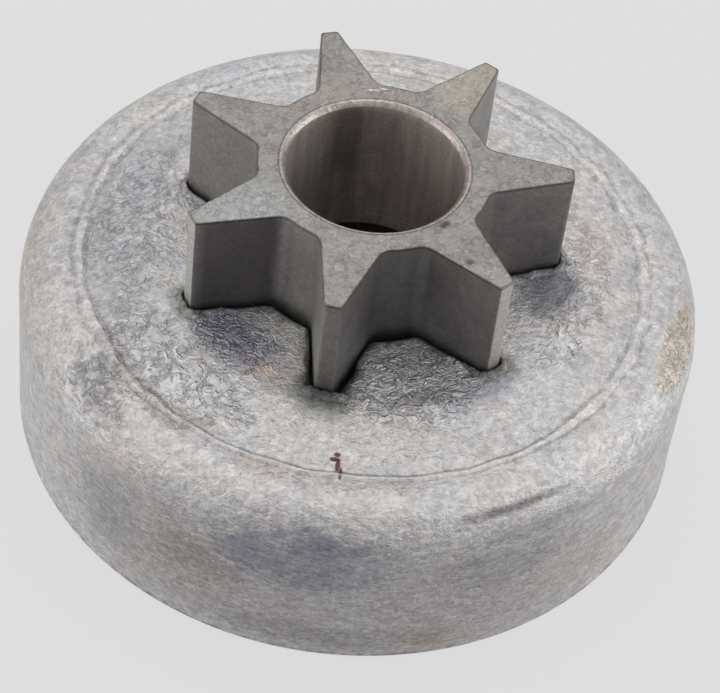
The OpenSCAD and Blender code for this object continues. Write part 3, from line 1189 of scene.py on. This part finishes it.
    def build(self, effects: Effects) -> bpy.types.Object:
        """Builds and dresses the drum.

        Args:
            effects: The shared node groups.

        Returns:
            The drum.
        """
        loft = Loft()
        self.outside(loft)
        piece = loft.piece("drum_shell", self.finishes(effects))
        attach(piece, BODY)
        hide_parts(self.node)
        LOG.info("%s: %d faces", piece.name, len(piece.data.polygons))
        return piece


@dataclass
class SpurSprocket:
    """Seven-tooth star with a bore and a round collar."""

    form: ToothForm
    top_z: float = 32.7
    seat_z: float = 18.65
    collar_z: float = 15.9
    collar_r: float = 20.2
    bore_r: float = 8.5
    bore_break: float = 0.45
    bevel: float = 0.06
    node: str = "spur_sprocket"
    slot: str = "sprocket_steel"
    nicks: Unevenness = field(default_factory=lambda: Unevenness(21, 40, 160))

    def rings(self, loft: Loft) -> None:
        """Adds all rings: bore, top, teeth, collar and underside."""
        star = self.form.outline()
        rays = np.column_stack([np.cos(star.angles), np.sin(star.angles)])
        chamfer = self.bore_r + self.bore_break

        def circle(radius: float | np.ndarray, height: float | np.ndarray, face: SprocketFace) -> None:
            """Adds a round ring."""
            loft.ring(rays * np.reshape(radius, (-1, 1)), height, face)

        wall_start, wall_end = self.collar_z + self.bore_break + 0.05, self.top_z - self.bore_break - 0.06
        for height in np.linspace(wall_start, wall_end, 20):
            circle(self.bore_r, height, SprocketFace.BORE)
        circle(self.bore_r + 0.04, self.top_z - self.bore_break + 0.03, SprocketFace.TOP)
        circle(self.bore_r + self.bore_break / 2, self.top_z - self.bore_break / 2, SprocketFace.TOP)
        circle(chamfer - 0.05, self.top_z - 0.045, SprocketFace.TOP)
        circle(chamfer + 0.05, self.top_z, SprocketFace.TOP)
        worn = self.bevel * (1 + 0.35 * self.nicks.at(star.angles))
        edge = star.moved(-worn)
        start = rays * (chamfer + 0.05)
        for share in (np.arange(1, 11) / 11) ** 0.9:
            plane = start + (edge - start) * share
            gaps = plane[:, None, :] - edge[None, :, :]
            loft.ring(plane, self.top_z, SprocketFace.TOP, np.sqrt((gaps**2).sum(-1)).min(1))
        for step in range(5):
            angle = math.pi / 2 * step / 4
            face = SprocketFace.TOP if step < 1 else SprocketFace.FLANK
            plane = star.moved(-worn * (1 - math.sin(angle)))
            loft.ring(plane, self.top_z - worn * (1 - math.cos(angle)), face, 0.0)
        for height in np.linspace(self.top_z - 0.6, self.seat_z, 15):
            loft.ring(star.points, height, SprocketFace.FLANK, self.top_z - height)
        for share in (0.5, 1.0):
            rim = rays * (self.collar_r - 0.2)
            loft.ring(star.points + (rim - star.points) * share, self.seat_z, SprocketFace.COLLAR)
        for radius, height in (
            (self.collar_r - 0.05, self.seat_z - 0.05), (self.collar_r, self.seat_z - 0.2),
            (self.collar_r, self.collar_z + 0.25), (self.collar_r - 0.06, self.collar_z + 0.06),
            (self.collar_r - 0.25, self.collar_z), (16.0, self.collar_z), (12.0, self.collar_z),
            (chamfer + 0.05, self.collar_z), (chamfer - 0.05, self.collar_z + 0.05),
        ):
            circle(radius, height, SprocketFace.COLLAR)

    def finishes(self, effects: Effects) -> list[bpy.types.Material]:
        """Builds the materials, in the order of SprocketFace."""
        top = MachinedFinish(
            "sprocket_ground_top", tone(159, 155, 151), tone(138, 135, 133), 0.42, scratch_cover=0.3,
            relief=0.55, edge_reach=0.12, stains=TOP_STAINS,
        )
        flank = MachinedFinish(
            "sprocket_dark_flank", tone(130, 128, 125), tone(108, 106, 105), 0.45, scratch_cover=0.22,
            metallic=0.6, relief=0.25, edge_reach=0.3, foot_depth=self.top_z - 21.15, stains=FLANK_STAINS,
        )
        bore = MachinedFinish(
            "sprocket_bore", tone(178, 166, 160), tone(140, 130, 126), 0.45, 0.22, 1.6, 0.2,
            metallic=0.45, streaks=0.2, stains=BORE_STAINS,
        )
        collar = MachinedFinish(
            "sprocket_collar", tone(126, 122, 116), tone(104, 100, 96), 0.4, mottle_size=5.0
        )
        return [top.build(effects), flank.build(effects), bore.build(effects), collar.build(effects)]

    def build(self, effects: Effects) -> bpy.types.Object:
        """Builds and dresses the sprocket.

        Args:
            effects: The shared node groups.

        Returns:
            The sprocket.
        """
        loft = Loft()
        self.rings(loft)
        piece = loft.piece("sprocket_star", self.finishes(effects))
        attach(piece, BODY)
        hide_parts(self.node)
        LOG.info("%s: %d faces", piece.name, len(piece.data.polygons))
        return piece


# ---- Studio ----


@dataclass(frozen=True)
class Softbox:
    """Large soft lamp that faces the object."""

    name: str
    place: tuple[float, float, float]
    size: tuple[float, float]
    brightness: float

    def build(self) -> None:
        """Adds the lamp, aimed at the middle of the drum."""
        lamp = bpy.data.lights.new(self.name, "AREA")
        lamp.shape = "RECTANGLE"
        lamp.size, lamp.size_y = self.size
        lamp.energy = self.brightness * math.pi * self.size[0] * self.size[1]
        holder = bpy.data.objects.new(self.name, lamp)
        bpy.context.scene.collection.objects.link(holder)
        holder.location = self.place
        aim = np.array(self.place) - np.array([0, 0, 0.02])
        back = aim / np.linalg.norm(aim)
        side = np.cross([0.0, 1.0, 0.0] if abs(back[2]) > 0.9 else [0.0, 0.0, 1.0], back)
        side /= np.linalg.norm(side)
        up = np.cross(back, side)
        turn = Matrix([[side[i], up[i], back[i], self.place[i]] for i in range(3)] + [[0, 0, 0, 1]])
        holder.matrix_world = turn
        holder.visible_camera = False


@dataclass
class Studio:
    """Pale floor, soft light and the camera."""

    floor_colour: Colour = tone(222, 222, 222)
    floor_size: float = 6.0
    floor_glow: float = 0.92
    shaded_r: float = 0.031
    world_level: float = 0.5
    camera_azimuth: float = -96.12
    camera_reach: float = 186.89
    camera_height: float = 212.10
    camera_yaw: float = -0.1108
    camera_pitch: float = 0.8313
    camera_roll: float = 0.1287
    lens: float = 136.93
    boxes: tuple[Softbox, ...] = (
        Softbox("top_box", (0.0, 0.1, 0.75), (0.8, 0.8), 1.15),
        Softbox("rear_box", (0.0, 0.8, 0.5), (1.2, 0.6), 0.6),
        Softbox("left_box", (-0.85, -0.05, 0.3), (0.7, 0.6), 1.85),
        Softbox("right_box", (0.85, -0.05, 0.3), (0.7, 0.6), 2.35),
    )

    def floor(self) -> None:
        """Adds the floor, a little below the rim."""
        half = self.floor_size / 2
        drop = -0.02 * MM
        mesh = bpy.data.meshes.new("floor")
        corners = [(-half, -half, drop), (half, -half, drop), (half, half, drop), (-half, half, drop)]
        mesh.from_pydata(corners, [], [(0, 1, 2, 3)])
        floor = bpy.data.objects.new("floor", mesh)
        bpy.context.scene.collection.objects.link(floor)
        material, sketch, shader = new_material("floor_paper")
        shader.inputs["Base Color"].default_value = (*self.floor_colour, 1.0)
        shader.inputs["Roughness"].default_value = 0.9
        shader.inputs["Specular IOR Level"].default_value = 0.1
        glow = sketch.add("ShaderNodeEmission")
        glow.inputs["Color"].default_value = (*self.floor_colour, 1.0)
        rays = sketch.add("ShaderNodeLightPath")
        direct = sketch.math("MAXIMUM", rays.outputs["Is Camera Ray"], rays.outputs["Is Glossy Ray"])
        place = sketch.add("ShaderNodeTexCoord")
        distance = sketch.add("ShaderNodeVectorMath", operation="LENGTH")
        sketch.feed(distance.inputs[0], place.outputs["Object"])
        open_floor = sketch.span(distance.outputs["Value"], self.shaded_r, self.shaded_r + 2 * MM)
        share = sketch.times(sketch.times(direct, self.floor_glow), open_floor)
        blend = sketch.add("ShaderNodeMixShader")
        sketch.feed(blend.inputs[0], share)
        sketch.feed(blend.inputs[1], shader.outputs[0])
        sketch.feed(blend.inputs[2], glow.outputs[0])
        sketch.feed(material.node_tree.nodes["Material Output"].inputs[0], blend.outputs[0])
        mesh.materials.append(material)

    def world(self) -> None:
        """Sets the even light all round, which the camera sees as the floor's colour."""
        world = bpy.data.worlds.new("studio")
        bpy.context.scene.world = world
        world.use_nodes = True
        sketch = Sketch(world.node_tree)
        light = world.node_tree.nodes["Background"]
        light.inputs["Color"].default_value = (1.0, 1.0, 1.0, 1.0)
        light.inputs["Strength"].default_value = self.world_level
        seen = sketch.add("ShaderNodeBackground")
        seen.inputs["Color"].default_value = (*self.floor_colour, 1.0)
        rays = sketch.add("ShaderNodeLightPath")
        blend = sketch.add("ShaderNodeMixShader")
        sketch.feed(blend.inputs[0], rays.outputs["Is Camera Ray"])
        sketch.feed(blend.inputs[1], light.outputs[0])
        sketch.feed(blend.inputs[2], seen.outputs[0])
        sketch.feed(world.node_tree.nodes["World Output"].inputs[0], blend.outputs[0])

    def camera(self) -> None:
        """Adds the camera, at the viewing angle of the photograph."""
        azimuth = math.radians(self.camera_azimuth)
        place = np.array([
            self.camera_reach * math.cos(azimuth), self.camera_reach * math.sin(azimuth), self.camera_height
        ]) * MM
        level = math.cos(self.camera_pitch)
        ahead = np.array([
            -math.sin(self.camera_yaw) * level,
            math.cos(self.camera_yaw) * level,
            -math.sin(self.camera_pitch),
        ])
        side = np.cross(ahead, [0.0, 0.0, 1.0])
        side /= np.linalg.norm(side)
        up = np.cross(side, ahead)
        roll_cos, roll_sin = math.cos(self.camera_roll), math.sin(self.camera_roll)
        right, top = roll_cos * side + roll_sin * up, -roll_sin * side + roll_cos * up
        camera = bpy.data.cameras.new("camera")
        camera.lens = self.lens
        camera.sensor_width = 36.0
        camera.clip_start = 0.01
        camera.dof.use_dof = False
        holder = bpy.data.objects.new("camera", camera)
        bpy.context.scene.collection.objects.link(holder)
        holder.matrix_world = Matrix(
            [[right[i], top[i], -ahead[i], place[i]] for i in range(3)] + [[0, 0, 0, 1]]
        )
        bpy.context.scene.camera = holder

    def build(self) -> None:
        """Builds the whole studio."""
        self.floor()
        self.world()
        for box in self.boxes:
            box.build()
        self.camera()
        bpy.context.scene.view_settings.view_transform = "Standard"
        LOG.info("studio: %d lamps", len(self.boxes))


def main() -> None:
    """Builds the drum, the sprocket and the studio."""
    logging.basicConfig(level=logging.INFO, format="%(name)s %(message)s")
    effects = Effects()
    form = ToothForm()
    ClutchDrum(form).build(effects)
    SpurSprocket(form).build(effects)
    Studio().build()
    bpy.context.view_layer.update()


if __name__ == "__main__":
    main()
